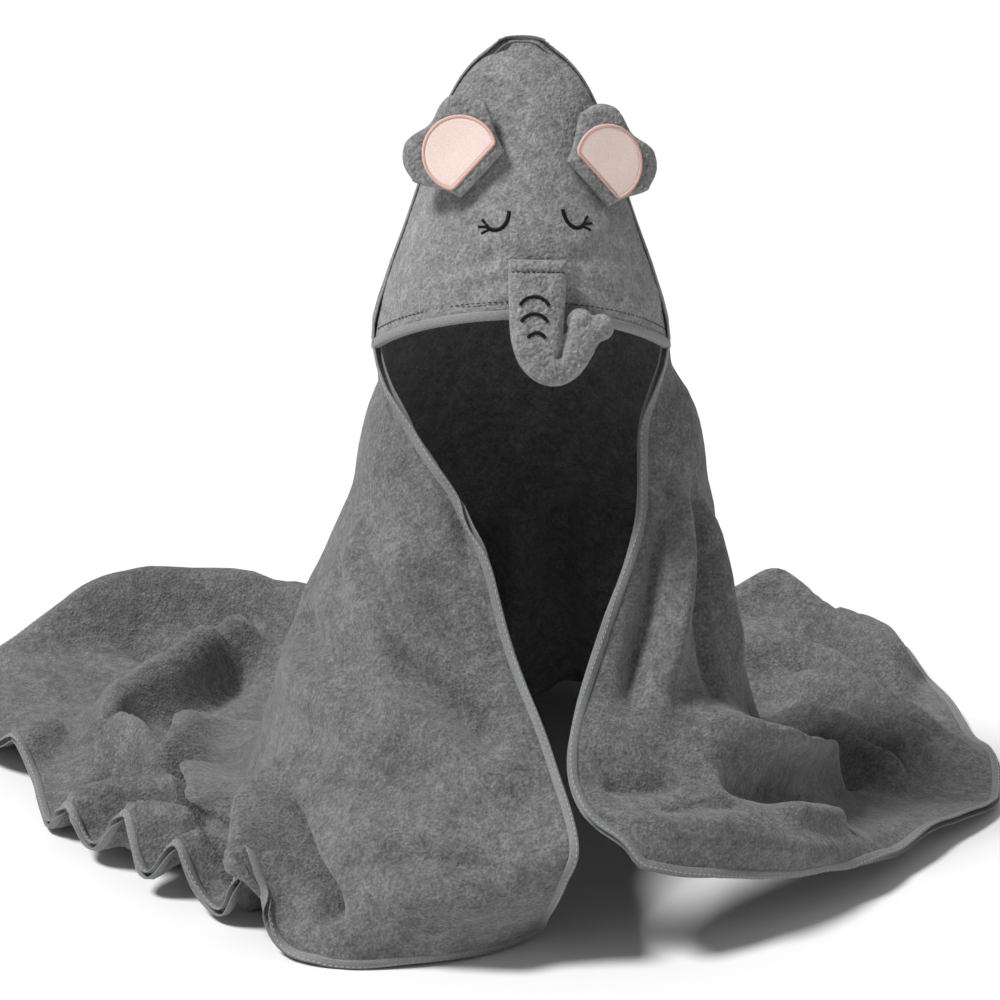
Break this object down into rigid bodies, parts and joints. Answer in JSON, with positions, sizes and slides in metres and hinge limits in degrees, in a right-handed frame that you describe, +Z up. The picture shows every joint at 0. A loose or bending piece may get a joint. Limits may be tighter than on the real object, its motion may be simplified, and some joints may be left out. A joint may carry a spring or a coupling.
{
  "type": "hooded baby towel",
  "caption": "Grey plush hooded baby towel in its worn shape, with an elephant-face hood, hinged ears, a hinged trunk and a bound edge.",
  "frame": {"origin": "on the floor, in the middle of the footprint of the worn towel", "axes": "+Z up, the open front and the face look to -Y, +X to the right as seen from the front"},
  "size_m": [0.7702, 0.5829, 0.5304],
  "materials": {
    "plush": "grey coral-fleece plush, mottled",
    "plush_light": "lighter grey plush",
    "tape": "smooth woven binding tape, slight sheen",
    "thread_grey": "sewing thread",
    "thread_black": "satin-stitch embroidery thread",
    "thread_pink": "satin-stitch thread",
    "pink_cotton": "pale pink woven cotton",
    "wadding": "polyester wadding"
  },
  "bodies": {
    "towel": {"towel_sheet": "plush", "hood_panel": "plush_light", "edge_binding": "tape", "brim_binding": "tape", "edge_stitching": "thread_grey", "brim_stitching": "thread_black", "eye_left": "thread_black", "eye_right": "thread_black"},
    "ear_left": {"ear_left_front": "plush_light", "ear_left_back": "plush", "ear_left_filling": "wadding", "ear_left_patch": "pink_cotton", "ear_left_patch_stitching": "thread_pink", "ear_left_base_stitching": "thread_black"},
    "ear_right": {"ear_right_front": "plush_light", "ear_right_back": "plush", "ear_right_filling": "wadding", "ear_right_patch": "pink_cotton", "ear_right_patch_stitching": "thread_pink", "ear_right_base_stitching": "thread_black"},
    "trunk": {"trunk_front": "plush_light", "trunk_back": "plush", "trunk_filling": "wadding", "trunk_wrinkles": "thread_black", "trunk_top_stitching": "thread_black"}
  },
  "joints": [
    {"name": "ear_left_flop", "type": "hinge", "parent": "towel", "child": "ear_left", "pos_m": [0.02049, -0.12204, 0.45679], "axis": [0.6761, 0.0721, 0.7333], "range_deg": [-12, 60], "stiffness_Nm_per_rad": 0.03},
    {"name": "ear_right_flop", "type": "hinge", "parent": "towel", "child": "ear_right", "pos_m": [0.08196, -0.11724, 0.44924], "axis": [0.646, 0.1049, -0.7561], "range_deg": [-5, 60], "stiffness_Nm_per_rad": 0.03},
    {"name": "trunk_lift", "type": "hinge", "parent": "towel", "child": "trunk", "pos_m": [0.0526, -0.14539, 0.40865], "axis": [-0.9941, -0.0995, 0.0438], "range_deg": [0, 85]}
  ]
}
